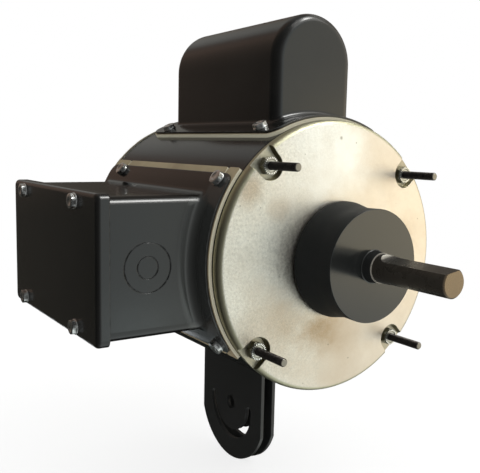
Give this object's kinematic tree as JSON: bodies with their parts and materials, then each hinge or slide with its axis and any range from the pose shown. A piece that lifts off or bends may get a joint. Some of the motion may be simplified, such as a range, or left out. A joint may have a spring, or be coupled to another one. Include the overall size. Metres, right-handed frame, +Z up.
{
  "type": "blower motor",
  "caption": "Round blower motor with a flatted drive shaft, slinger cup, studded end shield, side conduit box, arched capacitor cover and a slotted yoke for tilt mounting.",
  "frame": {"origin": "centre of the yoke's pivot hole, midway between the two yoke plates", "axes": "+Z up, from the pivot to the shaft axis; -Y along the drive shaft, towards its tip; +X along the pivot hole, away from the conduit box"},
  "size_m": [0.2293, 0.2732, 0.3115],
  "materials": {
    "black_paint": "gloss enamel",
    "cast_aluminium": "bare die casting",
    "slinger_rubber": "satin",
    "dark_steel": "oiled dark oxide",
    "black_steel": "black oxide",
    "zinc_steel": "bright zinc plate",
    "gasket_foam": "closed-cell foam",
    "bearing_steel": "ground",
    "lamination_steel": "stacked sheet",
    "copper_wire": "enamelled",
    "can_aluminium": "drawn",
    "phenolic": "moulded",
    "terminal_brass": "tin-flashed",
    "ground_green": "dyed zinc",
    "black_rubber": "moulded"
  },
  "bodies": {
    "motor_frame": {"motor_shell": "black_paint", "front_end_shield": "cast_aluminium", "rear_end_shield": "cast_aluminium", "through_bolts": "black_steel", "stud_nuts": "zinc_steel", "toothed_washers": "zinc_steel", "front_bearing_outer": "bearing_steel", "rear_bearing_outer": "bearing_steel", "spring_washer": "zinc_steel", "stator_core": "lamination_steel", "stator_winding": "copper_wire", "capacitor_cover": "black_paint", "capacitor_gasket": "gasket_foam", "capacitor_cover_screws": "zinc_steel", "capacitor": "can_aluminium", "capacitor_tabs": "terminal_brass", "capacitor_pad": "black_rubber", "capacitor_strap": "zinc_steel", "conduit_box": "black_paint", "box_gasket": "gasket_foam", "box_screws": "zinc_steel", "box_cover": "black_paint", "cover_gasket": "gasket_foam", "cover_screws": "zinc_steel", "terminal_board": "phenolic", "board_screws": "zinc_steel", "terminals": "terminal_brass", "lead_grommet": "black_rubber", "ground_screw": "ground_green", "yoke_plate_left": "black_paint", "yoke_plate_right": "black_paint"},
    "rotor": {"shaft": "dark_steel", "slinger": "slinger_rubber", "rotor_core": "lamination_steel", "rotor_cage": "can_aluminium", "front_bearing_inner": "bearing_steel", "rear_bearing_inner": "bearing_steel"},
    "front_balls": {"front_bearing_balls": "bearing_steel", "front_bearing_cage": "bearing_steel"},
    "rear_balls": {"rear_bearing_balls": "bearing_steel", "rear_bearing_cage": "bearing_steel"}
  },
  "joints": [
    {"name": "rotor_spin", "type": "hinge", "parent": "motor_frame", "child": "rotor", "pos_m": [0, -0.1027, 0.1228], "axis": [0, -1, 0], "continuous": true},
    {"name": "front_balls_spin", "type": "hinge", "parent": "motor_frame", "child": "front_balls", "pos_m": [0, -0.1027, 0.1228], "axis": [0, -1, 0], "continuous": true},
    {"name": "rear_balls_spin", "type": "hinge", "parent": "motor_frame", "child": "rear_balls", "pos_m": [0, -0.1027, 0.1228], "axis": [0, -1, 0], "continuous": true}
  ],
  "couplings": [
    {"joint": "front_balls_spin", "follows": "rotor_spin", "ratio": 0.38175},
    {"joint": "rear_balls_spin", "follows": "rotor_spin", "ratio": 0.38175}
  ]
}
